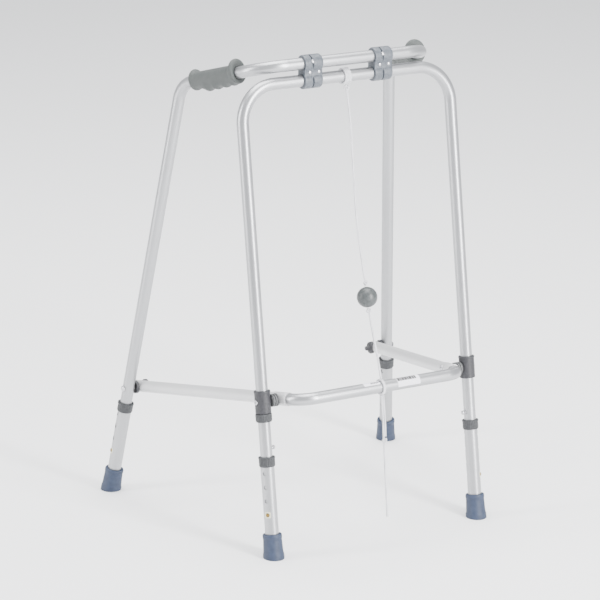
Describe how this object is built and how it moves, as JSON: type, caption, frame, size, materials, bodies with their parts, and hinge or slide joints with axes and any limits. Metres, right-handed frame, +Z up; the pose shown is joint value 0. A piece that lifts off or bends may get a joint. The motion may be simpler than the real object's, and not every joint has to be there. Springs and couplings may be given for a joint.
{
  "type": "walking frame",
  "caption": "folding aluminium walking frame with sliding-sleeve spreader, pull cord, hand grips and telescopic legs on rubber ferrules",
  "frame": {"origin": "on the floor, at the centre of the footprint (cord left out)", "axes": "+Z up, +X to the right seen from the front, front legs at -Y, user stands at +Y"},
  "size_m": [0.6642, 0.4997, 0.8877],
  "materials": {
    "anodised_tube": "satin anodised",
    "satin_tube": "bead-blasted satin",
    "plated_steel": "zinc plated",
    "button_brass": "polished",
    "clip_plastic": "moulded, slightly mottled",
    "bush_plastic": "moulded matte",
    "grip_vinyl": "soft moulded vinyl",
    "ferrule_rubber": "moulded rubber",
    "ball_plastic": "moulded, speckled",
    "cord_braid": "braided polyester"
  },
  "bodies": {
    "rear_frame": {"rear_frame_tube": "anodised_tube", "grip_left": "grip_vinyl", "grip_right": "grip_vinyl", "clip_front_left": "clip_plastic", "clip_front_right": "clip_plastic", "clip_back_left": "clip_plastic", "clip_back_right": "clip_plastic", "clip_web_rivet_left_1": "plated_steel", "clip_web_rivet_left_2": "plated_steel", "clip_web_rivet_right_1": "plated_steel", "clip_web_rivet_right_2": "plated_steel", "clip_tube_rivet_left": "plated_steel", "clip_tube_rivet_right": "plated_steel", "pivot_bolt_left": "plated_steel", "pivot_bolt_right": "plated_steel", "cord_upper": "cord_braid", "cord_ball": "ball_plastic", "cord_lower": "cord_braid", "button_spring_rear_left": "plated_steel", "button_spring_rear_right": "plated_steel"},
    "front_frame": {"front_frame_tube": "anodised_tube", "stop_ring_left": "bush_plastic", "cord_tie": "cord_braid", "stop_rivet_left": "plated_steel", "stop_rivet_right": "plated_steel", "button_spring_front_left": "plated_steel", "button_spring_front_right": "plated_steel"},
    "spreader": {"brace_tube_left": "satin_tube", "brace_tube_right": "satin_tube", "bow_tube": "anodised_tube", "front_hub_left": "bush_plastic", "front_hub_right": "bush_plastic", "brace_rivet_left": "plated_steel", "brace_rivet_right": "plated_steel", "rear_saddle_left": "bush_plastic", "rear_saddle_right": "bush_plastic", "pivot_nut_left": "bush_plastic", "pivot_nut_right": "bush_plastic", "cord_hitch": "cord_braid"},
    "cord_end": {"cord_tail": "cord_braid"},
    "slider_left": {"sleeve_left": "bush_plastic", "sleeve_screw_left": "plated_steel"},
    "slider_right": {"sleeve_right": "bush_plastic", "sleeve_screw_right": "plated_steel"},
    "lower_leg_front_left": {"leg_extension_front_left": "anodised_tube", "collar_front_left": "bush_plastic", "ferrule_front_left": "ferrule_rubber"},
    "button_front_left": {"snap_button_front_left": "button_brass"},
    "lower_leg_front_right": {"leg_extension_front_right": "anodised_tube", "collar_front_right": "bush_plastic", "ferrule_front_right": "ferrule_rubber"},
    "button_front_right": {"snap_button_front_right": "button_brass"},
    "lower_leg_rear_left": {"leg_extension_rear_left": "anodised_tube", "collar_rear_left": "bush_plastic", "ferrule_rear_left": "ferrule_rubber"},
    "button_rear_left": {"snap_button_rear_left": "button_brass"},
    "lower_leg_rear_right": {"leg_extension_rear_right": "anodised_tube", "collar_rear_right": "bush_plastic", "ferrule_rear_right": "ferrule_rubber"},
    "button_rear_right": {"snap_button_rear_right": "button_brass"}
  },
  "joints": [
    {"name": "front_frame_fold", "type": "hinge", "parent": "rear_frame", "child": "front_frame", "pos_m": [0, -0.0837, 0.841], "axis": [1, 0, 0], "range_deg": [0, 22]},
    {"name": "spreader_lift", "type": "hinge", "parent": "rear_frame", "child": "spreader", "pos_m": [0, 0.2008, 0.208], "axis": [-1, 0, 0], "range_deg": [0, 45], "deforming": ["cord_upper", "cord_ball", "cord_lower"]},
    {"name": "sleeve_slide_left", "type": "slide", "parent": "front_frame", "child": "slider_left", "axis": [0, 0.1699, 0.9855], "range_m": [0, 0.2479]},
    {"name": "sleeve_slide_right", "type": "slide", "parent": "front_frame", "child": "slider_right", "axis": [0, 0.1699, 0.9855], "range_m": [0, 0.2479]},
    {"name": "cord_tail_swing", "type": "hinge", "parent": "spreader", "child": "cord_end", "pos_m": [0, -0.2317, 0.29256], "axis": [1, 0, 0], "range_deg": [0, 45]},
    {"name": "leg_height_front_left", "type": "slide", "parent": "front_frame", "child": "lower_leg_front_left", "axis": [0, -0.1699, -0.9855], "range_m": [0, 0.0762], "deforming": ["snap_button_front_left"]},
    {"name": "button_press_front_left", "type": "slide", "parent": "front_frame", "child": "button_front_left", "axis": [0.8328, 0.5455, -0.0941], "range_m": [0, 0.0035], "stiffness_N_per_m": 1200, "deforming": ["button_spring_front_left"]},
    {"name": "leg_height_front_right", "type": "slide", "parent": "front_frame", "child": "lower_leg_front_right", "axis": [0, -0.1699, -0.9855], "range_m": [0, 0.0762], "deforming": ["snap_button_front_right"]},
    {"name": "button_press_front_right", "type": "slide", "parent": "front_frame", "child": "button_front_right", "axis": [-0.8328, 0.5455, -0.0941], "range_m": [0, 0.0035], "stiffness_N_per_m": 1200, "deforming": ["button_spring_front_right"]},
    {"name": "leg_height_rear_left", "type": "slide", "parent": "rear_frame", "child": "lower_leg_rear_left", "axis": [-0.1065, 0.1306, -0.9857], "range_m": [0, 0.0762], "deforming": ["snap_button_rear_left"]},
    {"name": "button_press_rear_left", "type": "slide", "parent": "rear_frame", "child": "button_rear_left", "axis": [0.9604, -0.2433, -0.136], "range_m": [0, 0.0035], "stiffness_N_per_m": 1200, "deforming": ["button_spring_rear_left"]},
    {"name": "leg_height_rear_right", "type": "slide", "parent": "rear_frame", "child": "lower_leg_rear_right", "axis": [0.1065, 0.1306, -0.9857], "range_m": [0, 0.0762], "deforming": ["snap_button_rear_right"]},
    {"name": "button_press_rear_right", "type": "slide", "parent": "rear_frame", "child": "button_rear_right", "axis": [-0.9604, -0.2433, -0.136], "range_m": [0, 0.0035], "stiffness_N_per_m": 1200, "deforming": ["button_spring_rear_right"]}
  ],
  "couplings": [
    {"joint": "spreader_lift", "follows": "front_frame_fold", "ratio": 2.0379},
    {"joint": "sleeve_slide_left", "follows": "front_frame_fold", "m_per_rad": 0.64488},
    {"joint": "sleeve_slide_right", "follows": "front_frame_fold", "m_per_rad": 0.64488},
    {"joint": "cord_tail_swing", "follows": "front_frame_fold", "ratio": 2.0379}
  ]
}
